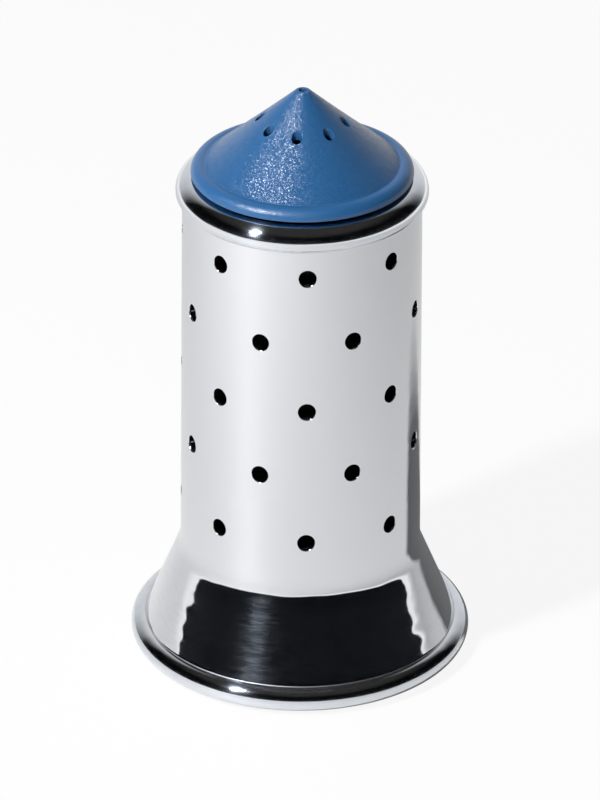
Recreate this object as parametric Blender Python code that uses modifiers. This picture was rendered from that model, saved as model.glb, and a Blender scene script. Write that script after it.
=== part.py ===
"""Salt shaker: a perforated steel shell round a moulded salt container with a conical screw cap.

Metres, +Z up. The origin is the centre of the base, on the table, and +Z is the axis of every turned piece.
"""

import math

import bmesh
import bpy
from mathutils import Matrix, Vector

# Fits
CLEARANCE = 0.0003  # between pieces that touch
THREAD_SPACE = 0.0006  # between the cap's skirt and the container's bore, for the screw thread

# Steel shell
BODY_RADIUS = 0.01552  # outer face of the wall where it meets the rim
BODY_SPREAD = 0.00027  # how much wider the wall is where it meets the flare
SHEET = 0.0008  # steel thickness
RIM_HEIGHT = 0.06595  # centre of the rim's side roll above the table
RIM_ROLL = 0.0015  # outer radius of the side roll, which leaves the wall at a crease
RIM_SET_IN = 0.00066  # side roll's centre inside the wall's outer face
RIM_TOP_ROLL = 0.00216  # outer radius of the roll over the top
RIM_SHOULDER = math.radians(14)  # above level, where the side roll passes into the top one
RIM_INTURN = 0.00072  # from the crown in to the rim's bore
FOOT_RADIUS = 0.02235  # outer edge of the rolled foot
FOOT_BEAD = 0.00157  # radius of the rolled foot's section
FOOT_CREASE = math.radians(12)  # from the foot's crown in to where the flare meets it
FOOT_LIFT = 0.0003  # steel above the table, which only the base plate touches
FLARE_HEIGHT = 0.0113  # from the foot's crown up to the wall
FLARE_FILLET = 0.006  # outer radius of the bend from the wall into the flare

# Holes in the shell's wall
HOLE_DIAMETER = 0.00225
HOLES_IN_ROW = 8
HOLE_ROWS = 5
LOW_ROW_ABOVE_FLARE = 0.0076
TOP_ROW_BELOW_RIM = 0.00505
HOLE_TURN = math.radians(2.8)  # first hole of the lowest row, from the front towards +X

# Salt container
CONTAINER_WALL = 0.0012
CONTAINER_FLOOR = 0.0014
COLLAR_HEIGHT = 0.0012  # ring outside the container that the turned-in rim holds down
MOUTH_RISE = 0.0002  # container's mouth above the rim's crown
MOUTH_CHAMFER = 0.0003
FLOOR_FILLET = 0.002

# Cap
CAP_OVERHANG = 0.0012  # cap's flange past the container's neck
CAP_LIP = 0.00105  # height of the cap's flange at its edge
CAP_LEDGE = 0.00178  # ring between the cone and the flange's edge
LIP_ROUND = 0.0006  # rounding of the flange's upper edge
BRIM_RISE = 0.0003  # foot of the cone above the flange's edge
CONE_HEIGHT = 0.010365
CONE_HOLLOW = 0.00008  # how far the cone's face sinks below a straight line
CAP_WALL = 0.001
TIP_LAND = 0.00035  # flat ring round the tip's hole
TIP_HOLE_DIAMETER = 0.00105
POUR_HOLES = 8
POUR_HOLE_DIAMETER = 0.00136
POUR_CIRCLE = 0.00545  # radius of the ring of pouring holes
POUR_TURN = math.radians(-7.5)  # first pouring hole, from the front towards +X
SKIRT_LENGTH = 0.0095
SKIRT_WALL = 0.0018

# Cap seal
SEAL_SECTION = 0.0009  # diameter of the O-ring's section
SEAL_DEPTH = 0.002  # O-ring's centre below the container's mouth

# Base plate
PLATE_THICKNESS = 0.0026
PLATE_RECESS_DEPTH = 0.0006
PLATE_LAND = 0.004  # width of the ring that stands on the table
PLATE_CHAMFER = 0.0004
BOSS_HEIGHT = 0.003
BOSS_WALL = 0.0012

# Facets
SEGMENTS = 48  # round each turned piece
RIM_STEPS = 5
FOOT_STEPS = 13
FILLET_STEPS = 4
CONE_STEPS = 4
HOLE_SIDES = 12
SEAL_SIDES = 10
SMOOTH_ANGLE = math.radians(35)

# Places that follow from the sizes above
RIM_CENTRE = Vector((BODY_RADIUS - RIM_SET_IN, RIM_HEIGHT))
SHOULDER_OUT = Vector((math.cos(RIM_SHOULDER), math.sin(RIM_SHOULDER)))
RIM_TOP_CENTRE = RIM_CENTRE - (RIM_TOP_ROLL - RIM_ROLL) * SHOULDER_OUT
RIM_BORE = RIM_TOP_CENTRE.x - RIM_INTURN
RIM_CROWN = RIM_TOP_CENTRE.y + RIM_TOP_ROLL
FOOT_CENTRE = Vector((FOOT_RADIUS - FOOT_BEAD, FOOT_LIFT + FOOT_BEAD))
FLARE_FOOT = FOOT_CENTRE + FOOT_BEAD * Vector((-math.sin(FOOT_CREASE), math.cos(FOOT_CREASE)))
WALL_TOP = RIM_HEIGHT - math.sqrt(RIM_ROLL**2 - RIM_SET_IN**2)
WALL_FOOT = Vector((BODY_RADIUS + BODY_SPREAD, FOOT_CENTRE.y + FOOT_BEAD + FLARE_HEIGHT))
WALL_LEAN = math.atan2(BODY_SPREAD, WALL_TOP - WALL_FOOT.y)
FLARE_ANGLE = math.atan2(FLARE_FOOT.x - WALL_FOOT.x, WALL_FOOT.y - FLARE_FOOT.y)
LOW_ROW = WALL_FOOT.y + LOW_ROW_ABOVE_FLARE
TOP_ROW = RIM_HEIGHT - TOP_ROW_BELOW_RIM
WALL_DRILL = 4 * SHEET  # length that goes through one side of the wall only

CONTAINER_RADIUS = min(RIM_BORE, BODY_RADIUS - SHEET) - CLEARANCE
CONTAINER_BORE = CONTAINER_RADIUS - CONTAINER_WALL
CONTAINER_FOOT = PLATE_THICKNESS + CLEARANCE
COLLAR_RADIUS = BODY_RADIUS - SHEET - CLEARANCE
COLLAR_TOP = RIM_CROWN - SHEET - CLEARANCE
MOUTH_HEIGHT = RIM_CROWN + MOUTH_RISE

CAP_SEAT = MOUTH_HEIGHT + CLEARANCE
CAP_RADIUS = CONTAINER_RADIUS + CAP_OVERHANG
CONE_RADIUS = CAP_RADIUS - CAP_LEDGE
TIP_HOLE_RADIUS = TIP_HOLE_DIAMETER / 2
TIP_RADIUS = TIP_HOLE_RADIUS + TIP_LAND
CONE_SLOPE = CONE_HEIGHT / (CONE_RADIUS - TIP_RADIUS)
SKIRT_RADIUS = CONTAINER_BORE - THREAD_SPACE
SKIRT_BORE = SKIRT_RADIUS - SKIRT_WALL
POUR_DRILL = 4 * CONE_HEIGHT  # length that goes through the cone's wall from the seat's height

SEAL_RADIUS = CONTAINER_BORE - CLEARANCE - SEAL_SECTION / 2
SEAL_HEIGHT = MOUTH_HEIGHT - SEAL_DEPTH
GROOVE_RADIUS = SEAL_RADIUS - SEAL_SECTION / 2 - CLEARANCE
GROOVE_HALF = SEAL_SECTION / 2 + CLEARANCE

PLATE_RADIUS = FOOT_CENTRE.x - FOOT_BEAD - CLEARANCE
BOSS_RADIUS = CONTAINER_BORE - CLEARANCE


def arc(centre, radius, start, end, steps):
    """Points (radius, height) on an arc, both ends included; angles in radians from +X towards +Z."""
    turn = [start + (end - start) * i / steps for i in range(steps + 1)]
    return [Vector((centre[0] + radius * math.cos(a), centre[1] + radius * math.sin(a))) for a in turn]


def hollow(start, end, depth, steps):
    """Points on a shallow arc from start down to end that sinks below the straight line by a depth."""
    chord = end - start
    outward = Vector((-chord.y, chord.x)).normalized()
    radius = (chord.length_squared / 4 + depth**2) / (2 * depth)
    centre = (start + end) / 2 + (radius - depth) * outward
    first = start - centre
    last = end - centre
    return arc(centre, radius, math.atan2(first.y, first.x), math.atan2(last.y, last.x), steps)


def clear_scene():
    for obj in list(bpy.data.objects):
        bpy.data.objects.remove(obj)


def new_collection(name):
    collection = bpy.data.collections.new(name)
    bpy.context.scene.collection.children.link(collection)
    return collection


def new_material(name, colour, roughness, metallic=0.0):
    material = bpy.data.materials.new(name)
    material.use_nodes = True
    shader = material.node_tree.nodes["Principled BSDF"]
    shader.inputs["Base Color"].default_value = (*colour, 1)
    shader.inputs["Roughness"].default_value = roughness
    shader.inputs["Metallic"].default_value = metallic
    return material


def add_part(name, mesh, material, collection, parent, height=0.0):
    """Puts a mesh in the scene as a named piece on the axis, at a height above the table."""
    mesh.name = name
    mesh.materials.append(material)
    mesh.shade_smooth()
    mesh.set_sharp_from_angle(angle=SMOOTH_ANGLE)
    part = bpy.data.objects.new(name, mesh)
    part.location.z = height
    part.parent = parent
    collection.objects.link(part)
    return part


def turned(profile, closed):
    """The mesh of a profile of (radius, height) points turned round Z. An open profile ends on the axis."""
    mesh = bpy.data.meshes.new("profile")
    shape = bmesh.new()
    points = [shape.verts.new((point[0], 0, point[1])) for point in profile]
    for first, second in zip(points, points[1:]):
        shape.edges.new((first, second))
    if closed:
        shape.edges.new((points[-1], points[0]))
    shape.to_mesh(mesh)
    shape.free()
    guide = bpy.data.objects.new("profile", mesh)
    bpy.context.scene.collection.objects.link(guide)
    screw = guide.modifiers.new("turn", "SCREW")
    screw.axis = "Z"
    screw.steps = screw.render_steps = SEGMENTS
    screw.use_merge_vertices = True
    screw.merge_threshold = 1e-5
    graph = bpy.context.evaluated_depsgraph_get()
    solid = bpy.data.meshes.new_from_object(guide.evaluated_get(graph))
    bpy.data.objects.remove(guide)
    bpy.data.meshes.remove(mesh)
    return solid


def drills(name, places, diameter, length, collection):
    """One cutter made of a round drill at each place, along that place's local Z."""
    shape = bmesh.new()
    for place in places:
        bmesh.ops.create_cone(
            shape,
            cap_ends=True,
            segments=HOLE_SIDES,
            radius1=diameter / 2,
            radius2=diameter / 2,
            depth=length,
            matrix=place,
        )
    mesh = bpy.data.meshes.new(name)
    shape.to_mesh(mesh)
    shape.free()
    mesh.shade_smooth()
    mesh.set_sharp_from_angle(angle=SMOOTH_ANGLE)
    cutter = bpy.data.objects.new(name, mesh)
    cutter.hide_render = True
    cutter.display_type = "WIRE"
    collection.objects.link(cutter)
    return cutter


def drill(part, cutter):
    cut = part.modifiers.new(cutter.name, "BOOLEAN")
    cut.operation = "DIFFERENCE"
    cut.solver = "EXACT"
    cut.object = cutter


def shell_profile():
    """Closed section of the sheet: round the rim, down the outer face, round the foot and up inside."""
    roll_out = -math.acos(RIM_SET_IN / RIM_ROLL)
    roll_in = -math.acos((RIM_SET_IN - SHEET) / (RIM_ROLL - SHEET))
    edge = (RIM_BORE + SHEET / 2, RIM_CROWN - SHEET / 2)
    # The bend's centre is level, along the wall's normal, with where the wall passes into the bend.
    wall_up = Vector((-math.sin(WALL_LEAN), math.cos(WALL_LEAN)))
    wall_out = Vector((math.cos(WALL_LEAN), math.sin(WALL_LEAN)))
    bend_start = WALL_FOOT + FLARE_FILLET * math.tan((FLARE_ANGLE - WALL_LEAN) / 2) * wall_up
    bend = bend_start + FLARE_FILLET * wall_out
    # The flare's inner face runs down along this line until it meets the foot's bead.
    down = Vector((math.sin(FLARE_ANGLE), -math.cos(FLARE_ANGLE)))
    start = FLARE_FOOT - SHEET * Vector((math.cos(FLARE_ANGLE), math.sin(FLARE_ANGLE))) - FOOT_CENTRE
    along = start.dot(down)
    reach = -along - math.sqrt(along**2 - start.length_squared + FOOT_BEAD**2)
    inner_end = start + reach * down
    foot_in = math.atan2(inner_end.y, inner_end.x) - math.tau
    return [
        *arc(RIM_TOP_CENTRE, RIM_TOP_ROLL, math.pi / 2, RIM_SHOULDER, RIM_STEPS),
        *arc(RIM_CENTRE, RIM_ROLL, RIM_SHOULDER, roll_out, RIM_STEPS)[1:],
        *arc(bend, FLARE_FILLET, math.pi + WALL_LEAN, math.pi + FLARE_ANGLE, FILLET_STEPS),
        *arc(FOOT_CENTRE, FOOT_BEAD, math.pi / 2 + FOOT_CREASE, foot_in, FOOT_STEPS),
        *arc(bend, FLARE_FILLET + SHEET, math.pi + FLARE_ANGLE, math.pi + WALL_LEAN, FILLET_STEPS),
        *arc(RIM_CENTRE, RIM_ROLL - SHEET, roll_in, RIM_SHOULDER, RIM_STEPS),
        *arc(RIM_TOP_CENTRE, RIM_TOP_ROLL - SHEET, RIM_SHOULDER, math.pi / 2, RIM_STEPS)[1:],
        *arc(edge, SHEET / 2, -math.pi / 2, -3 * math.pi / 2, FILLET_STEPS),
    ]


def wall_holes():
    """Drill places in the shell's wall, in rows that are staggered by half a pitch."""
    pitch = math.tau / HOLES_IN_ROW
    places = []
    for row in range(HOLE_ROWS):
        height = LOW_ROW + (TOP_ROW - LOW_ROW) * row / (HOLE_ROWS - 1)
        for hole in range(HOLES_IN_ROW):
            azimuth = HOLE_TURN + pitch * (hole + row % 2 / 2)
            spoke = Matrix.Rotation(azimuth, 4, "Z") @ Matrix.Translation((0, -BODY_RADIUS, height))
            places.append(spoke @ Matrix.Rotation(math.pi / 2, 4, "X"))
    return places


def container_profile():
    """Section of the cup: out along the floor, up to the mouth, down outside and in under the floor."""
    floor_foot = CONTAINER_FOOT + BOSS_HEIGHT
    floor_top = floor_foot + CONTAINER_FLOOR
    corner = (CONTAINER_BORE - FLOOR_FILLET, floor_top + FLOOR_FILLET)
    inside = arc(corner, FLOOR_FILLET, -math.pi / 2, 0, FILLET_STEPS)
    return [
        (0, floor_top),
        *inside,
        (CONTAINER_BORE, MOUTH_HEIGHT - MOUTH_CHAMFER),
        (CONTAINER_BORE + MOUTH_CHAMFER, MOUTH_HEIGHT),
        (CONTAINER_RADIUS, MOUTH_HEIGHT),
        (CONTAINER_RADIUS, COLLAR_TOP),
        (COLLAR_RADIUS, COLLAR_TOP),
        (COLLAR_RADIUS, COLLAR_TOP - COLLAR_HEIGHT),
        (CONTAINER_RADIUS, COLLAR_TOP - COLLAR_HEIGHT),
        (CONTAINER_RADIUS, CONTAINER_FOOT),
        (CONTAINER_BORE, CONTAINER_FOOT),
        (CONTAINER_BORE, floor_foot),
        (0, floor_foot),
    ]


def cap_profile():
    """Closed section of the cap above its seat: cone, flange, skirt with the seal's groove, inside."""
    cone_foot = CAP_LIP + BRIM_RISE
    tip = cone_foot + CONE_HEIGHT
    cone = hollow(Vector((TIP_RADIUS, tip)), Vector((CONE_RADIUS, cone_foot)), CONE_HOLLOW, CONE_STEPS)
    lip = arc((CAP_RADIUS - LIP_ROUND, CAP_LIP - LIP_ROUND), LIP_ROUND, math.pi / 2, 0, FILLET_STEPS)
    groove = SEAL_HEIGHT - CAP_SEAT
    drop = CAP_WALL * math.hypot(1, CONE_SLOPE)
    return [
        (TIP_HOLE_RADIUS, tip),
        *cone,
        *lip,
        (CAP_RADIUS, 0),
        (SKIRT_RADIUS, 0),
        (SKIRT_RADIUS, groove + GROOVE_HALF),
        (GROOVE_RADIUS, groove + GROOVE_HALF),
        (GROOVE_RADIUS, groove - GROOVE_HALF),
        (SKIRT_RADIUS, groove - GROOVE_HALF),
        (SKIRT_RADIUS, -SKIRT_LENGTH),
        (SKIRT_BORE, -SKIRT_LENGTH),
        (SKIRT_BORE, tip - (SKIRT_BORE - TIP_RADIUS) * CONE_SLOPE - drop),
        (TIP_HOLE_RADIUS, tip + TIP_LAND * CONE_SLOPE - drop),
    ]


def pour_holes():
    """Drill places in the cap's cone, upright and in a ring."""
    turn = [POUR_TURN + math.tau * i / POUR_HOLES for i in range(POUR_HOLES)]
    return [Matrix.Rotation(a, 4, "Z") @ Matrix.Translation((0, -POUR_CIRCLE, 0)) for a in turn]


def plate_profile():
    """Section of the base plate: out from the boss, down the edge and in across the ring it stands on."""
    recess = PLATE_RADIUS - PLATE_LAND
    return [
        (0, PLATE_THICKNESS),
        (BOSS_RADIUS - BOSS_WALL, PLATE_THICKNESS),
        (BOSS_RADIUS - BOSS_WALL, PLATE_THICKNESS + BOSS_HEIGHT),
        (BOSS_RADIUS, PLATE_THICKNESS + BOSS_HEIGHT),
        (BOSS_RADIUS, PLATE_THICKNESS),
        (PLATE_RADIUS - PLATE_CHAMFER, PLATE_THICKNESS),
        (PLATE_RADIUS, PLATE_THICKNESS - PLATE_CHAMFER),
        (PLATE_RADIUS, PLATE_CHAMFER),
        (PLATE_RADIUS - PLATE_CHAMFER, 0),
        (recess, 0),
        (recess, PLATE_RECESS_DEPTH),
        (0, PLATE_RECESS_DEPTH),
    ]


def seal_mesh():
    """The O-ring, centred on its own height."""
    bpy.ops.mesh.primitive_torus_add(
        major_radius=SEAL_RADIUS,
        minor_radius=SEAL_SECTION / 2,
        major_segments=SEGMENTS,
        minor_segments=SEAL_SIDES,
    )
    ring = bpy.context.object
    mesh = ring.data
    bpy.data.objects.remove(ring)
    return mesh


def main():
    clear_scene()
    parts = new_collection("salt_shaker")
    cutters = new_collection("cutters")
    steel = new_material("polished_stainless_steel", (0.78, 0.79, 0.8), 0.08, metallic=1.0)
    blue = new_material("blue_polyamide", (0.05, 0.16, 0.38), 0.4)
    black = new_material("black_polypropylene", (0.012, 0.012, 0.014), 0.25)
    base_black = new_material("black_moulded_base", (0.016, 0.016, 0.017), 0.5)
    rubber = new_material("black_silicone", (0.02, 0.02, 0.021), 0.6)

    stand = bpy.data.objects.new("salt_shaker_stand", None)
    screw_cap = bpy.data.objects.new("screw_cap", None)
    for empty in (stand, screw_cap):
        parts.objects.link(empty)
    screw_cap.parent = stand

    shell = add_part("body_shell", turned(shell_profile(), closed=True), steel, parts, stand)
    drill(shell, drills("wall_drills", wall_holes(), HOLE_DIAMETER, WALL_DRILL, cutters))

    add_part("salt_container", turned(container_profile(), closed=False), black, parts, stand)
    add_part("base_plate", turned(plate_profile(), closed=False), base_black, parts, stand)

    cap = add_part("cap", turned(cap_profile(), closed=True), blue, parts, screw_cap, CAP_SEAT)
    pour = drills("pour_drills", pour_holes(), POUR_HOLE_DIAMETER, POUR_DRILL, cutters)
    pour.location.z = CAP_SEAT
    drill(cap, pour)
    add_part("cap_seal", seal_mesh(), rubber, parts, screw_cap, SEAL_HEIGHT)


main()
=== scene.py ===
import math

import bmesh
import bpy
from mathutils import Matrix, Quaternion, Vector


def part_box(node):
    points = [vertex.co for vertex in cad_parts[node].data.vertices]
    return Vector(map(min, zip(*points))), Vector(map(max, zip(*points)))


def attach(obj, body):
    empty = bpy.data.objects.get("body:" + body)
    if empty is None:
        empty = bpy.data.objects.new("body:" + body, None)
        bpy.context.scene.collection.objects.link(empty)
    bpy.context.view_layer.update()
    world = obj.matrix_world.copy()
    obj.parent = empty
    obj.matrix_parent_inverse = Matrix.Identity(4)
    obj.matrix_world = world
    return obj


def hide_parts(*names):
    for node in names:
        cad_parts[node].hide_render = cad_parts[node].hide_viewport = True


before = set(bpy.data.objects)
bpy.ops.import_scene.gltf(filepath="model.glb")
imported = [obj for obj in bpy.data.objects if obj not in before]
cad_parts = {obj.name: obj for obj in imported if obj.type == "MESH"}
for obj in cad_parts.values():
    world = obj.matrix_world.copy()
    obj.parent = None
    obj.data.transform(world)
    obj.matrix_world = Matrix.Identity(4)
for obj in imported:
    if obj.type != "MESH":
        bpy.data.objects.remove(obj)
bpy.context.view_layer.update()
scene = bpy.context.scene
scene.view_settings.view_transform = "Standard"
print("frame loaded:", sorted(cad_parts))


def mm(value):
    return value * 0.001  # sizes below are in millimetres, unless a note says metres


def toMm(metres):
    return metres * 1000  # the frame's own sizes are in metres


def perMm(size):  # texture scale that gives one feature every so many millimetres
    return 1 / mm(size)


def hexLinear(code):  # sRGB hex to the linear colour that sockets take
    parts = [int(code[i : i + 2], 16) / 255 for i in (1, 3, 5)]
    return (*[c / 12.92 if c <= 0.04045 else ((c + 0.055) / 1.055) ** 2.4 for c in parts], 1)


colourA, colourB, colourOut = 6, 7, 2  # a Mix node's colour sockets, which share their names with others


def addNode(tree, kind, inputs=None, **settings):  # an input is a number, a colour, a socket or a node
    node = tree.nodes.new("ShaderNode" + kind)
    for key, value in settings.items():
        setattr(node, key, value)
    for key, value in (inputs or {}).items():
        if isinstance(value, bpy.types.Node):
            value = value.outputs[0]
        if isinstance(value, bpy.types.NodeSocket):
            tree.links.new(value, node.inputs[key])
        else:
            node.inputs[key].default_value = value
    return node


def newFinish(name):  # a material with its Principled shader and Object coordinates at hand
    finish = bpy.data.materials.new(name)
    finish.use_nodes = True
    tree = finish.node_tree
    place = addNode(tree, "TexCoord").outputs["Object"]
    return finish, tree, tree.nodes["Principled BSDF"], place


def fromAxis(tree, place):  # how far a point is from the turning axis, in metres
    flat = addNode(tree, "VectorMath", {0: place, 1: (1, 1, 0)}, operation="MULTIPLY")
    return addNode(tree, "VectorMath", {0: flat}, operation="LENGTH").outputs["Value"]


turning = {
    "steps": 192,  # facets round each turned piece
    "drillSteps": 48,  # facets round each drill
    "threadSteps": 96,  # facets in one turn of a thread
    "arcStep": 6,  # degrees of an arc for each facet of the section
    "arcRun": 0.5,  # mm of an arc for each facet of the section
    "arcLeast": 4,  # facets in the shortest arc
    "cornerAngle": 20,  # degrees past which a corner of the section is softened
    "cornerSteps": 4,  # facets round a softened corner
    "sharpAngle": 25,  # degrees past which an edge shows as a line
    "hold": 0.3,  # mm from the end of a straight run to the point that keeps its shading straight
    "merge": 0.001,  # mm between points that become one
}


# A section is drawn point by point in the XZ plane: (r, z) runs straight there and
# (r, z, degrees) swings round that centre, anticlockwise where degrees is positive.
def drawSection(start, moves, closed=False):
    bm = bmesh.new()
    first = point = bm.verts.new((mm(start[0]), 0, mm(start[1])))
    for r, z, *swing in moves:
        place = Vector((mm(r), 0, mm(z)))
        if swing:
            angle = math.radians(swing[0])
            run = abs(angle) * (point.co - place).length
            byAngle = round(abs(swing[0]) / turning["arcStep"])
            steps = max(turning["arcLeast"], byAngle, round(run / mm(turning["arcRun"])))
            made = bmesh.ops.spin(bm, geom=[point], cent=place, axis=(0, -1, 0), angle=angle, steps=steps)
            point = made["geom_last"][0]
        else:
            begin, run, hold = point.co.copy(), place - point.co, mm(turning["hold"])
            stops = [hold / run.length, 1 - hold / run.length, 1] if run.length > 3 * hold else [1]
            for stop in stops:
                point = bmesh.ops.extrude_vert_indiv(bm, verts=[point])["verts"][0]
                point.co = begin + run * stop
    if closed:
        bmesh.ops.contextual_create(bm, geom=[point, first])
    return bm


def softenCorners(bm, offset):  # moulded and rolled edges are never quite sharp
    limit = math.radians(turning["cornerAngle"])
    corners = [v for v in bm.verts if len(v.link_edges) == 2 and v.calc_edge_angle(0) > limit]
    bmesh.ops.bevel(bm, geom=corners, offset=mm(offset), offset_type="OFFSET", profile=0.5,
                    segments=turning["cornerSteps"], affect="VERTICES", material=-1)


def turnSection(bm, steps):
    bmesh.ops.spin(bm, geom=[*bm.verts, *bm.edges], cent=(0, 0, 0), axis=(0, 0, 1), angle=math.tau,
                   steps=steps, use_merge=True)
    bmesh.ops.remove_doubles(bm, verts=bm.verts, dist=mm(turning["merge"]))  # closes the poles
    bmesh.ops.recalc_face_normals(bm, faces=bm.faces)


def shadeSmooth(mesh):
    mesh.shade_smooth()
    mesh.set_sharp_from_angle(angle=math.radians(turning["sharpAngle"]))


def newMesh(name, bm):
    mesh = bpy.data.meshes.new(name)
    bm.to_mesh(mesh)
    bm.free()
    shadeSmooth(mesh)
    return mesh


def newPiece(name, bm, finish, node, body):
    mesh = newMesh(name, bm)
    mesh.materials.append(finish)
    piece = bpy.data.objects.new(name, mesh)
    scene.collection.objects.link(piece)
    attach(piece, body)
    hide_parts(node)
    return piece


def drillBit(radius, rounding, depth):  # stands on the face that it drills, and flares to round the edge
    bit = drawSection((0, -depth), [
        (radius, -depth),
        (radius, -rounding),
        (radius + rounding, -rounding, -90),
        (radius + rounding, depth),
        (0, depth),
    ])
    turnSection(bit, turning["drillSteps"])
    return bit


def drillHoles(piece, bit, places):  # bit is the mesh of one drill, along its own Z
    bm = bmesh.new()
    for place in places:
        ready = set(bm.verts)
        bm.from_mesh(bit)
        bmesh.ops.transform(bm, matrix=place, verts=[v for v in bm.verts if v not in ready])
    drills = bpy.data.objects.new("drills", newMesh("drills", bm))
    scene.collection.objects.link(drills)
    drilled = bpy.data.materials.new("drilled")  # tells the holes' faces from the rest
    drills.data.materials.append(drilled)
    cut = piece.modifiers.new("holes", "BOOLEAN")
    cut.operation = "DIFFERENCE"
    cut.solver = "EXACT"
    cut.material_mode = "TRANSFER"
    cut.object = drills
    graph = bpy.context.evaluated_depsgraph_get()
    mesh = bpy.data.meshes.new_from_object(piece.evaluated_get(graph))
    piece.modifiers.clear()
    bpy.data.objects.remove(drills)
    shadeSmooth(mesh)
    # the edge of a hole ends the face's shading, however gently it rolls in
    bm = bmesh.new()
    bm.from_mesh(mesh)
    for edge in bm.edges:
        edge.smooth &= len({face.material_index for face in edge.link_faces}) == 1
    for face in bm.faces:
        face.material_index = 0
    bm.to_mesh(mesh)
    bm.free()
    mesh.materials.pop(index=1)
    bpy.data.materials.remove(drilled)
    piece.data = mesh


def addThread(bm, thread):  # one ridge, swept up round the axis, anticlockwise as it climbs
    ridge = bmesh.new()
    section = [
        (thread["root"], -thread["width"] / 2),
        (thread["crest"], -thread["land"] / 2),
        (thread["crest"], thread["land"] / 2),
        (thread["root"], thread["width"] / 2),
    ]
    points = [ridge.verts.new((mm(r), 0, mm(thread["start"] + z))) for r, z in section]
    for first, second in zip(points, points[1:] + points[:1]):
        ridge.edges.new((first, second))
    perTurn = turning["threadSteps"]
    climb = Vector((0, 0, mm(thread["pitch"]) / perTurn))
    bmesh.ops.spin(ridge, geom=[*ridge.verts, *ridge.edges], cent=(0, 0, 0), axis=(0, 0, 1), dvec=climb,
                   angle=math.tau * thread["turns"], steps=round(perTurn * thread["turns"]))
    bmesh.ops.holes_fill(ridge, edges=ridge.edges, sides=len(section))
    bmesh.ops.recalc_face_normals(ridge, faces=ridge.faces)
    mesh = newMesh("ridge", ridge)
    bm.from_mesh(mesh)
    bpy.data.meshes.remove(mesh)


steel = {
    "colour": "#E5E7EA",
    "roughness": (0.03, 0.05),  # least and most, from one buffing line to the next
    "roughSpan": (0.3, 0.7),  # where the lines' noise gives the least and the most
    "creaseRoughness": 0.45,  # in the crease over the foot's bead, which no buffing wheel reaches
    "creaseReach": (0.04, 0.12),  # mm from the crease, where the polish starts and where it is full
    "buffLine": 0.36,  # mm between buffing lines, several times coarser than real so that they show
    "buffRun": 2.4,  # mm along one line
    "lineDetail": 2,
    "lineWander": 0.6,  # how far the lines stray from straight
    "waveLength": 4,  # mm from one slow wave of the rolled sheet to the next
    "waveDepth": 0.06,  # mm
    "waveDetail": 1,
    "hazeColour": "#C6D3E4",
    # turns of the lines' direction: a quarter, and on the lathe their slight climb
    "lathe": {"roughness": 0.285, "spread": 0.95, "turn": 0.275},
    "hand": {"roughness": 0.2, "spread": 1, "turn": 0.25},  # rim and foot, buffed by hand after rolling
    "haze": (0.03, 0.08),  # share of the light that the buffing lines throw up and down
    "hazeSpan": (0.35, 0.7),  # where the lines' noise gives the least and the most
    "handHaze": 3,  # times as much on the rim and the foot
    "handFrom": (3.45, 64.6),  # mm above the table, where the foot ends and the rim starts
    "wallHaze": 0.15,  # times as much on the wall, which is drawn and not spun
    "wallFrom": (11, 17),  # mm above the table, from the spun flare to the drawn wall
}


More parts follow.
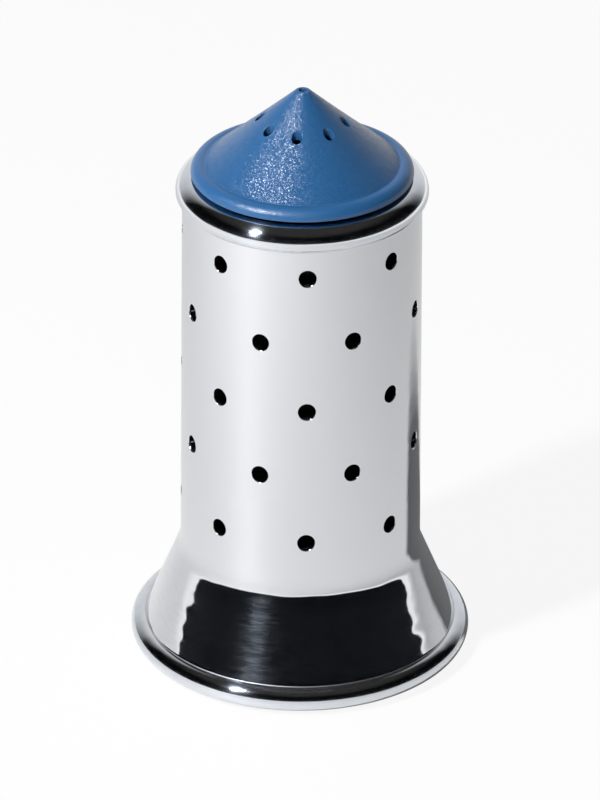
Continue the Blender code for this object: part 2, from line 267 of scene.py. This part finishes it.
# 18/10 stainless sheet, spun and buffed on the lathe: hard clear reflections that waver a little with
# the sheet, and a bright lamp drawn out into a hazy streak across the buffing lines.
def buffedStainless(crease):  # crease is its radius and height in mm
    finish, tree, mirror, place = newFinish("buffedStainlessSteel")
    lineScale = (perMm(steel["buffRun"]), perMm(steel["buffRun"]), perMm(steel["buffLine"]))
    alongLines = addNode(tree, "Mapping", {"Vector": place, "Scale": lineScale})
    lines = addNode(tree, "TexNoise", {
        "Vector": alongLines, "Scale": 1, "Detail": steel["lineDetail"], "Distortion": steel["lineWander"]})
    waves = addNode(tree, "TexNoise", {
        "Vector": place, "Scale": perMm(steel["waveLength"]), "Detail": steel["waveDetail"]})
    wavy = addNode(tree, "Bump", {"Height": waves, "Distance": mm(steel["waveDepth"])})
    noiseLow, noiseHigh = steel["roughSpan"]
    least, most = steel["roughness"]
    polish = addNode(tree, "MapRange", {
        "Value": lines, "From Min": noiseLow, "From Max": noiseHigh, "To Min": least, "To Max": most})
    height = addNode(tree, "SeparateXYZ", {0: place}).outputs["Z"]
    section = addNode(tree, "CombineXYZ", {"X": fromAxis(tree, place), "Y": height})
    creaseAt = (mm(crease.x), mm(crease.y), 0)
    away = addNode(tree, "VectorMath", {0: section, 1: creaseAt}, operation="DISTANCE")
    dullTo, polishedFrom = steel["creaseReach"]
    dull = addNode(tree, "MapRange", {
        "Value": away.outputs["Value"], "From Min": mm(dullTo), "From Max": mm(polishedFrom),
        "To Min": steel["creaseRoughness"], "To Max": 0})
    rough = addNode(tree, "Math", {0: polish, 1: dull}, operation="MAXIMUM")
    mirror.inputs["Base Color"].default_value = hexLinear(steel["colour"])
    mirror.inputs["Metallic"].default_value = 1
    tree.links.new(rough.outputs[0], mirror.inputs["Roughness"])
    tree.links.new(wavy.outputs[0], mirror.inputs["Normal"])
    lathe, hand = [addNode(tree, "BsdfPrincipled", {
        "Base Color": hexLinear(steel["hazeColour"]),
        "Metallic": 1,
        "Roughness": buffing["roughness"],
        "Anisotropic": buffing["spread"],
        "Anisotropic Rotation": buffing["turn"],  # light spreads across the lines
        "Normal": wavy,
    }) for buffing in (steel["lathe"], steel["hand"])]

    # the rim and the foot lie outside the band between the two heights
    footTop, rimFoot = [mm(level) for level in steel["handFrom"]]
    offMiddle = addNode(tree, "Math", {0: height, 1: (footTop + rimFoot) / 2}, operation="SUBTRACT")
    offMiddle = addNode(tree, "Math", {0: offMiddle}, operation="ABSOLUTE")
    rolled = addNode(tree, "Math", {0: offMiddle, 1: (rimFoot - footTop) / 2}, operation="GREATER_THAN")
    haze = addNode(tree, "MixShader", {0: rolled, 1: lathe, 2: hand})
    noiseLow, noiseHigh = steel["hazeSpan"]
    least, most = steel["haze"]
    share = addNode(tree, "MapRange", {
        "Value": lines, "From Min": noiseLow, "From Max": noiseHigh, "To Min": least, "To Max": most})
    flareTop, wallFoot = [mm(level) for level in steel["wallFrom"]]
    spun = addNode(tree, "MapRange", {
        "Value": height, "From Min": flareTop, "From Max": wallFoot,
        "To Min": 1, "To Max": steel["wallHaze"]})
    more = addNode(tree, "Mix", {"Factor": rolled, "A": spun, "B": steel["handHaze"]})
    share = addNode(tree, "Math", {0: share, 1: more}, operation="MULTIPLY")
    both = addNode(tree, "MixShader", {0: share, 1: mirror, 2: haze})
    tree.links.new(both.outputs[0], tree.nodes["Material Output"].inputs["Surface"])
    return finish


polyamide = {
    "colour": "#245F97",
    "pale": "#2A679E",  # where the spark texture's peaks are rubbed
    "grain": 0.09,  # mm from one facet of the spark texture to the next, a little coarser than real
    "lean": 0.5,  # steepest lean of a facet, as rise over run
    "roughness": 0.27,
    "specular": 0.8,  # the spark texture throws back more than a plain moulded skin
    "lipRoughness": 0.34,
    "lipGrain": 0.4,  # share of the texture's depth that is left on the lip
    "lipFrom": 12.4,  # mm from the axis, where the texture starts to fade towards the lip
    "lipTo": 12.7,
}


# Blue polyamide moulded in a spark-eroded tool: a fine matt grain that breaks a highlight into sparks,
# and a lip that the tool leaves smoother.
def sparkPolyamide():
    finish, tree, shader, place = newFinish("sparkTexturedPolyamide")
    grain = addNode(tree, "TexVoronoi", {"Vector": place, "Scale": perMm(polyamide["grain"])})
    # each cell is a flat facet that leans its own way, by its cell's colour about mid grey
    toward = addNode(tree, "VectorMath", {0: place, 1: grain.outputs["Position"]}, operation="SUBTRACT")
    lean = addNode(tree, "VectorMath", {0: grain.outputs["Color"], 1: (0.5, 0.5, 0.5)}, operation="SUBTRACT")
    facet = addNode(tree, "VectorMath", {0: toward, 1: lean}, operation="DOT_PRODUCT")
    rub = addNode(tree, "Mix", {
        "Factor": grain.outputs["Color"],
        colourA: hexLinear(polyamide["colour"]),
        colourB: hexLinear(polyamide["pale"]),
    }, data_type="RGBA")
    lip = {
        "Value": fromAxis(tree, place),
        "From Min": mm(polyamide["lipFrom"]),
        "From Max": mm(polyamide["lipTo"]),
    }
    rough = addNode(tree, "MapRange", {
        **lip, "To Min": polyamide["roughness"], "To Max": polyamide["lipRoughness"]})
    depth = addNode(tree, "MapRange", {**lip, "To Min": 1, "To Max": polyamide["lipGrain"]})
    pits = addNode(tree, "Bump", {
        "Height": facet.outputs["Value"], "Strength": depth, "Distance": polyamide["lean"]})
    shader.inputs["Specular IOR Level"].default_value = polyamide["specular"]
    tree.links.new(rub.outputs[colourOut], shader.inputs["Base Color"])
    tree.links.new(rough.outputs[0], shader.inputs["Roughness"])
    tree.links.new(pits.outputs[0], shader.inputs["Normal"])
    return finish


def mottledBlack(name, moulding):  # tone and gloss wander together
    finish, tree, shader, place = newFinish(name)
    mottle = addNode(tree, "TexNoise", {
        "Vector": place, "Scale": perMm(moulding["mottle"]), "Detail": moulding["detail"]})
    tone = addNode(tree, "Mix", {
        "Factor": mottle,
        colourA: hexLinear(moulding["colour"]),
        colourB: hexLinear(moulding["pale"]),
    }, data_type="RGBA")
    least, most = moulding["roughness"]
    rough = addNode(tree, "MapRange", {"Value": mottle, "To Min": least, "To Max": most})
    tree.links.new(tone.outputs[colourOut], shader.inputs["Base Color"])
    tree.links.new(rough.outputs[0], shader.inputs["Roughness"])
    return finish, tree, shader, mottle


polypropylene = {
    "colour": "#0E0F11",
    "pale": "#17181B",
    "mottle": 6,  # mm from one flow mark to the next
    "detail": 4,
    "roughness": (0.16, 0.26),
}


# Black polypropylene from a polished tool: glossy, with faint flow marks in the gloss.
def glossPolypropylene():
    return mottledBlack("glossBlackPolypropylene", polypropylene)[0]


basePlastic = {
    "colour": "#121314",
    "pale": "#202124",
    "mottle": 0.3,  # mm from one pit of the grain to the next
    "detail": 2,
    "grainDepth": 0.02,  # mm
    "roughness": (0.42, 0.58),
}


# Black ABS with a matt moulded grain, dull on the side that stands on the table.
def mattAbs():
    finish, tree, shader, grain = mottledBlack("mattBlackAbs", basePlastic)
    pits = addNode(tree, "Bump", {"Height": grain, "Distance": mm(basePlastic["grainDepth"])})
    tree.links.new(pits.outputs[0], shader.inputs["Normal"])
    return finish


silicone = {
    "colour": "#1A1B1C",
    "pale": "#2A2B2D",
    "mottle": 0.8,  # mm from one patch of bloom to the next
    "detail": 3,
    "roughness": (0.45, 0.65),
}


# Black silicone O-ring: a soft dull skin with a pale bloom in patches.
def siliconeRubber():
    return mottledBlack("blackSilicone", silicone)[0]


shell = {
    "wallRadius": 15.52,  # where the wall meets the rim
    "wallSpread": 0.27,  # how much wider it is where it meets the flare
    "sheet": 0.8,
    "rimHeight": 65.95,  # centre of the rim's side roll
    "rimRoll": 1.5,
    "rimSetIn": 0.66,  # side roll's centre inside the wall's face
    "rimTopRoll": 2.16,
    "rimShoulder": 14,  # degrees above level, where the side roll passes into the top one
    "rimInturn": 0.72,  # from the crown in to the rim's bore
    "footBead": 1.57,
    "footCrease": 12,  # degrees in from the bead's crown to where the flare meets it
    "flareHeight": 11.3,
    "flareFillet": 6,
    "crease": 0.06,  # rounding of the creases
    "holeDiameter": 2.25,
    "holeEdge": 0.16,  # rounding that the punch leaves on the outside
    "holesInRow": 8,
    "holeRows": 5,
    "lowRow": 22.34,
    "topRow": 60.9,
    "holeTurn": 2.8,  # degrees
}


def steelShell():
    low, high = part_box("body_shell")
    sheet, wall, bead = shell["sheet"], shell["wallRadius"], shell["footBead"]
    side = Vector((wall - shell["rimSetIn"], shell["rimHeight"]))
    shoulder = math.radians(shell["rimShoulder"])
    top = side - (shell["rimTopRoll"] - shell["rimRoll"]) * Vector((math.cos(shoulder), math.sin(shoulder)))
    crown = top.y + shell["rimTopRoll"]
    rollInside = shell["rimRoll"] - sheet
    rollOut = math.degrees(math.acos(shell["rimSetIn"] / shell["rimRoll"]))
    rollIn = math.acos((shell["rimSetIn"] - sheet) / rollInside)
    edge = top.x - shell["rimInturn"] + sheet / 2
    foot = Vector((toMm(high.x) - bead, toMm(low.z) + bead))
    crease = math.radians(shell["footCrease"])
    flareFoot = foot + bead * Vector((-math.sin(crease), math.cos(crease)))
    wallTop = shell["rimHeight"] - math.sqrt(shell["rimRoll"] ** 2 - shell["rimSetIn"] ** 2)
    wallFoot = Vector((wall + shell["wallSpread"], foot.y + bead + shell["flareHeight"]))
    lean = math.atan2(shell["wallSpread"], wallTop - wallFoot.y)
    slope = math.atan2(flareFoot.x - wallFoot.x, wallFoot.y - flareFoot.y)
    fillet = shell["flareFillet"]
    bendTop = wallFoot + fillet * math.tan((slope - lean) / 2) * Vector((-math.sin(lean), math.cos(lean)))
    bend = bendTop + fillet * Vector((math.cos(lean), math.sin(lean)))
    # inside, the flare's sheet runs down beside its outer face until it meets the bead
    down = Vector((math.sin(slope), -math.cos(slope)))
    inner = flareFoot - sheet * Vector((math.cos(slope), math.sin(slope))) - foot
    along = inner.dot(down)
    inner -= (along + math.sqrt(along**2 - inner.length_squared + bead**2)) * down
    # the bead goes round from the crease to that point
    wrap = 360 + 90 + shell["footCrease"] - math.degrees(math.atan2(inner.y, inner.x))
    bm = drawSection((top.x, crown), [
        (*top, shell["rimShoulder"] - 90),
        (*side, -shell["rimShoulder"] - rollOut),
        bendTop,
        (*bend, math.degrees(slope - lean)),
        flareFoot,
        (*foot, -wrap),
        bend - (fillet + sheet) * Vector((math.cos(slope), math.sin(slope))),
        (*bend, math.degrees(lean - slope)),
        side + rollInside * Vector((math.cos(rollIn), -math.sin(rollIn))),
        (*side, shell["rimShoulder"] + math.degrees(rollIn)),
        (*top, 90 - shell["rimShoulder"]),
        (edge, crown - sheet),
        (edge, crown - sheet / 2, -180),
    ], closed=True)
    softenCorners(bm, shell["crease"])
    turnSection(bm, turning["steps"])
    piece = newPiece("steelShell", bm, buffedStainless(flareFoot), "body_shell", "body")

    bit = drillBit(shell["holeDiameter"] / 2, shell["holeEdge"], 2 * sheet)
    pitch = 360 / shell["holesInRow"]
    places = []
    for row in range(shell["holeRows"]):
        height = shell["lowRow"] + (shell["topRow"] - shell["lowRow"]) * row / (shell["holeRows"] - 1)
        face = wall + (wallTop - height) * math.tan(lean)
        for hole in range(shell["holesInRow"]):
            spoke = Matrix.Rotation(math.radians(shell["holeTurn"] + pitch * (hole + row % 2 / 2)), 4, "Z")
            outward = Matrix.Translation((0, -mm(face), mm(height))) @ Matrix.Rotation(math.pi / 2, 4, "X")
            places.append(spoke @ outward)
    drillHoles(piece, newMesh("wallDrill", bit), places)


steelShell()
print("steel shell turned and pierced")

container = {
    "radius": 13.2,
    "bore": 12.0,
    "floor": 1.4,
    "floorLift": 3.0,  # hollow under the floor, over the base plate's boss
    "floorFillet": 2.0,
    "collarTop": 66.85,
    "collarHeight": 1.2,
    "corner": 0.15,
    "thread": {
        "root": 12.1, "crest": 11.6, "width": 0.9, "land": 0.3, "pitch": 2.0, "start": 58.5, "turns": 3.2,
    },
}


def saltContainer():
    low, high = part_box("salt_container")
    foot, mouth, collar = toMm(low.z), toMm(high.z), toMm(high.x)
    floorFoot = foot + container["floorLift"]
    floorTop = floorFoot + container["floor"]
    bore, fillet = container["bore"], container["floorFillet"]
    collarFoot = container["collarTop"] - container["collarHeight"]
    bm = drawSection((0, floorTop), [
        (bore - fillet, floorTop),
        (bore - fillet, floorTop + fillet, 90),
        (bore, mouth),
        (container["radius"], mouth),
        (container["radius"], container["collarTop"]),
        (collar, container["collarTop"]),
        (collar, collarFoot),
        (container["radius"], collarFoot),
        (container["radius"], foot),
        (bore, foot),
        (bore, floorFoot),
        (0, floorFoot),
    ])
    softenCorners(bm, container["corner"])
    turnSection(bm, turning["steps"])
    addThread(bm, container["thread"])
    newPiece("saltContainer", bm, glossPolypropylene(), "salt_container", "body")


saltContainer()
print("container moulded")

cap = {
    "seat": 68.45,  # underside of the lip
    "brim": 1.35,  # cone's foot above the seat
    "brimRound": 1.35,  # radius of the brim's roll, from the cone's foot out to the lip's edge
    "ledge": 1.78,  # from the cone's foot out to the lip's edge
    "coneHollow": 0.08,  # how far the cone's face sinks below a straight line
    "tipRadius": 0.875,
    "tipHole": 1.05,
    "wall": 1.0,
    "skirtRadius": 11.4,
    "skirtBore": 9.6,
    "grooveRadius": 10.5,
    "grooveHeight": 66.15,
    "grooveWidth": 1.5,
    "corner": 0.1,
    "pourHoles": 8,
    "pourDiameter": 1.36,
    "pourEdge": 0.08,  # rounding of the holes' outer edges
    "pourCircle": 5.45,
    "pourTurn": -7.5,  # degrees
    "thread": {
        "root": 11.3, "crest": 11.8, "width": 0.9, "land": 0.3, "pitch": 2.0, "start": 59.5, "turns": 2.6,
    },
}


def blueCap():
    low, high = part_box("cap")
    skirtFoot, tip, edge = toMm(low.z), toMm(high.z), toMm(high.x)
    coneTop = Vector((cap["tipRadius"], tip))
    coneFoot = Vector((edge - cap["ledge"], cap["seat"] + cap["brim"]))
    inset = cap["brimRound"] - cap["ledge"]  # cone's foot from the middle of the brim's roll
    rollRise = math.sqrt(cap["brimRound"] ** 2 - inset**2)
    brim = Vector((edge - cap["brimRound"], coneFoot.y - rollRise))
    face = coneFoot - coneTop
    # radius and centre of the hollow in the cone's face
    sweep = (face.length_squared / 4 + cap["coneHollow"] ** 2) / (2 * cap["coneHollow"])
    outward = Vector((-face.y, face.x)).normalized()
    centre = (coneTop + coneFoot) / 2 + (sweep - cap["coneHollow"]) * outward
    slope = -face.y / face.x
    drop = cap["wall"] * math.hypot(1, slope)  # wall measured straight down
    hole = cap["tipHole"] / 2
    grooveTop = cap["grooveHeight"] + cap["grooveWidth"] / 2
    grooveFoot = cap["grooveHeight"] - cap["grooveWidth"] / 2
    bm = drawSection((hole, tip), [
        coneTop,
        (*centre, 2 * math.degrees(math.asin(face.length / 2 / sweep))),
        (*brim, -math.degrees(math.atan2(rollRise, inset))),
        (edge, cap["seat"]),
        (cap["skirtRadius"], cap["seat"]),
        (cap["skirtRadius"], grooveTop),
        (cap["grooveRadius"], grooveTop),
        (cap["grooveRadius"], grooveFoot),
        (cap["skirtRadius"], grooveFoot),
        (cap["skirtRadius"], skirtFoot),
        (cap["skirtBore"], skirtFoot),
        (cap["skirtBore"], tip - (cap["skirtBore"] - cap["tipRadius"]) * slope - drop),
        (hole, tip + (cap["tipRadius"] - hole) * slope - drop),
    ], closed=True)
    softenCorners(bm, cap["corner"])
    turnSection(bm, turning["steps"])
    piece = newPiece("blueCap", bm, sparkPolyamide(), "cap", "cap")

    bit = drillBit(cap["pourDiameter"] / 2, cap["pourEdge"], 2 * drop)
    bmesh.ops.translate(bit, verts=bit.verts, vec=(0, -mm(cap["pourCircle"]), 0))
    for point in bit.verts:  # the moulding pin's flare follows the cone's face
        out = point.co.xy.length - mm(centre.x)
        point.co.z += mm(centre.y) - math.sqrt(mm(sweep) ** 2 - out**2)
    turns = [math.radians(cap["pourTurn"] + 360 * i / cap["pourHoles"]) for i in range(cap["pourHoles"])]
    drillHoles(piece, newMesh("pourDrill", bit), [Matrix.Rotation(turn, 4, "Z") for turn in turns])

    bm = bmesh.new()
    bm.from_mesh(piece.data)
    addThread(bm, cap["thread"])
    bm.to_mesh(piece.data)
    bm.free()
    shadeSmooth(piece.data)


blueCap()
print("cap moulded and drilled")


def capSeal():
    low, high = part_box("cap_seal")
    section = toMm(high.z - low.z) / 2
    middle = toMm(high.z + low.z) / 2
    radius = toMm(high.x) - section
    bm = drawSection((radius + section, middle), [(radius, middle, 360)])
    turnSection(bm, turning["steps"])
    newPiece("capSeal", bm, siliconeRubber(), "cap_seal", "seal")


capSeal()
print("seal moulded")

base = {
    "thickness": 2.6,
    "recessDepth": 0.6,
    "land": 4.0,  # ring that stands on the table
    "chamfer": 0.4,
    "bossRadius": 11.7,
    "bossWall": 1.2,
    "gateRadius": 0.9,  # what is left of the sprue, in the middle of the underside
    "gateHeight": 0.25,
    "corner": 0.12,
}


def basePlate():
    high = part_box("base_plate")[1]
    edge, bossTop = toMm(high.x), toMm(high.z)
    thick, recess, chamfer = base["thickness"], base["recessDepth"], base["chamfer"]
    bm = drawSection((0, thick), [
        (base["bossRadius"] - base["bossWall"], thick),
        (base["bossRadius"] - base["bossWall"], bossTop),
        (base["bossRadius"], bossTop),
        (base["bossRadius"], thick),
        (edge - chamfer, thick),
        (edge, thick - chamfer),
        (edge, chamfer),
        (edge - chamfer, 0),
        (edge - base["land"], 0),
        (edge - base["land"], recess),
        (base["gateRadius"], recess),
        (base["gateRadius"], recess - base["gateHeight"]),
        (0, recess - base["gateHeight"]),
    ])
    softenCorners(bm, base["corner"])
    turnSection(bm, turning["steps"])
    newPiece("basePlate", bm, mattAbs(), "base_plate", "body")


basePlate()
print("base plate moulded")

camera = {
    "eye": (0, -0.91964, 0.53412),  # metres
    "aim": (-0.000137, -0.00277, 0.03646),
    "roll": 0.32,  # degrees
    "lens": 360,
    "clipEnd": 20,  # metres
}


def placeCamera():
    data = bpy.data.cameras.new("camera")
    data.lens = camera["lens"]
    data.clip_end = camera["clipEnd"]
    eye = bpy.data.objects.new("camera", data)
    scene.collection.objects.link(eye)
    sight = (Vector(camera["aim"]) - Vector(camera["eye"])).to_track_quat("-Z", "Y")
    eye.rotation_mode = "QUATERNION"
    eye.rotation_quaternion = sight @ Quaternion((0, 0, 1), math.radians(camera["roll"]))
    eye.location = camera["eye"]
    scene.camera = eye


placeCamera()
print("camera placed")

studio = {
    "tableHalf": 0.4,  # metres from the object to the table's sides
    "tableDepth": (-0.6, 2.4),  # metres, from the front edge to the foot of the backdrop
    "floorDrop": 0.05,  # mm from the object's foot down to the floor
    "floorColour": 0.9,
    "floorRoughness": 0.5,  # a little sheen, which the metal sees brightest towards the lamp
    "floorGlow": 0.9,  # share of plain white that the camera sees in the floor, over its own light
    "glowFrom": 0.15,  # metres from the object, where the metal starts to see plain white too
    "glowTo": 0.35,
    "keyAzimuth": -51,  # degrees from the front, towards the left
    "keyElevation": 46,
    "keyDistance": 0.7,  # metres
    "keySize": (0.05, 0.16),
    "keyAim": 40,  # mm up the object
    "keyWatts": 5.4,
    "fill": 0.13,  # level of the even light from all round
    "roomRadius": 2.5,  # metres
    "roomSegments": (48, 24),
    "roomFoot": -0.001,  # metres, where the dome is cut off
    "roomFront": "#050607",  # the dark half of the room, behind the camera
    "roomBack": "#E6E8EA",  # the pale backdrop
    "backdropFrom": 1.2,  # metres behind the object where the dark gives way to the backdrop
    "backdropTo": 2.4,
    "ceiling": "#343230",  # dim light high in the room
    "ceilingFrom": 1.5,  # metres above the table where it starts
    "ceilingTo": 2.3,
}


def stagePiece(name, bm):  # a piece of the studio with an empty node tree
    mesh = newMesh(name, bm)
    finish = bpy.data.materials.new(name)
    finish.use_nodes = True
    finish.node_tree.nodes.clear()
    mesh.materials.append(finish)
    piece = bpy.data.objects.new(name, mesh)
    scene.collection.objects.link(piece)
    return piece, finish.node_tree


def whiteFloor():
    front, back = studio["tableDepth"]
    place = Matrix.Translation((0, (front + back) / 2, -mm(studio["floorDrop"])))
    bm = bmesh.new()
    bmesh.ops.create_grid(bm, x_segments=1, y_segments=1, size=1,
                          matrix=place @ Matrix.Diagonal((studio["tableHalf"], (back - front) / 2, 1, 1)))
    tree = stagePiece("floor", bm)[1]
    path = addNode(tree, "LightPath")
    spot = addNode(tree, "TexCoord").outputs["Object"]
    reach = addNode(tree, "VectorMath", {0: spot}, operation="LENGTH").outputs["Value"]
    far = addNode(tree, "MapRange", {
        "Value": reach, "From Min": studio["glowFrom"], "From Max": studio["glowTo"]})
    mirrored = addNode(tree, "Math", {0: path.outputs["Is Glossy Ray"], 1: far}, operation="MULTIPLY")
    share = addNode(tree, "Math", {
        0: path.outputs["Is Camera Ray"], 1: studio["floorGlow"], 2: mirrored}, operation="MULTIPLY_ADD")
    paint = addNode(tree, "BsdfPrincipled", {
        "Base Color": (*[studio["floorColour"]] * 3, 1), "Roughness": studio["floorRoughness"]})
    glow = addNode(tree, "Emission", {"Color": (1, 1, 1, 1), "Strength": 1})
    both = addNode(tree, "MixShader", {0: share, 1: paint, 2: glow})
    addNode(tree, "OutputMaterial", {"Surface": both})


def darkRoom():  # what the metal mirrors above the table: a dark room in front, a pale backdrop behind
    bm = bmesh.new()
    across, up = studio["roomSegments"]
    bmesh.ops.create_uvsphere(bm, u_segments=across, v_segments=up, radius=studio["roomRadius"])
    bmesh.ops.bisect_plane(bm, geom=[*bm.verts, *bm.edges, *bm.faces], clear_outer=True,
                           plane_co=(0, 0, studio["roomFoot"]), plane_no=(0, 0, -1))
    room, tree = stagePiece("room", bm)
    place = addNode(tree, "TexCoord").outputs["Object"]
    axes = addNode(tree, "SeparateXYZ", {0: place})
    high = addNode(tree, "MapRange", {
        "Value": axes.outputs["Z"], "From Min": studio["ceilingFrom"], "From Max": studio["ceilingTo"],
    }, interpolation_type="SMOOTHSTEP")
    dark = addNode(tree, "Mix", {
        "Factor": high, colourA: hexLinear(studio["roomFront"]), colourB: hexLinear(studio["ceiling"]),
    }, data_type="RGBA")
    pale = addNode(tree, "MapRange", {
        "Value": axes.outputs["Y"], "From Min": studio["backdropFrom"], "From Max": studio["backdropTo"],
    }, interpolation_type="SMOOTHSTEP")
    wall = addNode(tree, "Mix", {
        "Factor": pale, colourA: dark.outputs[colourOut], colourB: hexLinear(studio["roomBack"]),
    }, data_type="RGBA")
    glow = addNode(tree, "Emission", {"Color": wall.outputs[colourOut], "Strength": 1})
    addNode(tree, "OutputMaterial", {"Surface": glow})
    room.visible_camera = False
    room.visible_diffuse = False
    room.visible_shadow = False
    room.visible_transmission = False


def keyLamp():
    data = bpy.data.lights.new("keySoftbox", "AREA")
    data.shape = "RECTANGLE"
    data.size, data.size_y = studio["keySize"]
    data.energy = studio["keyWatts"]
    lamp = bpy.data.objects.new("keySoftbox", data)
    scene.collection.objects.link(lamp)
    turn = Matrix.Rotation(math.radians(studio["keyAzimuth"]), 4, "Z")
    tilt = math.radians(studio["keyElevation"])
    way = turn @ Vector((0, -math.cos(tilt), math.sin(tilt)))
    lamp.location = way * studio["keyDistance"] + Vector((0, 0, mm(studio["keyAim"])))
    lamp.rotation_mode = "QUATERNION"
    lamp.rotation_quaternion = (-way).to_track_quat("-Z", "Y")
    lamp.visible_camera = False


def skyFill():  # even light, which shows as plain white where it is seen straight or mirrored
    world = bpy.data.worlds.new("studio")
    scene.world = world
    world.use_nodes = True
    tree = world.node_tree
    tree.nodes.clear()
    path = addNode(tree, "LightPath").outputs
    seen = addNode(tree, "Math", {0: path["Is Camera Ray"], 1: path["Is Glossy Ray"]}, operation="MAXIMUM")
    seen = addNode(tree, "Math", {0: seen, 1: path["Is Transmission Ray"]}, operation="MAXIMUM")
    level = addNode(tree, "MapRange", {"Value": seen, "To Min": studio["fill"], "To Max": 1})
    sky = addNode(tree, "Background", {"Color": (1, 1, 1, 1), "Strength": level})
    addNode(tree, "OutputWorld", {"Surface": sky})


whiteFloor()
darkRoom()
keyLamp()
skyFill()
print("studio ready")
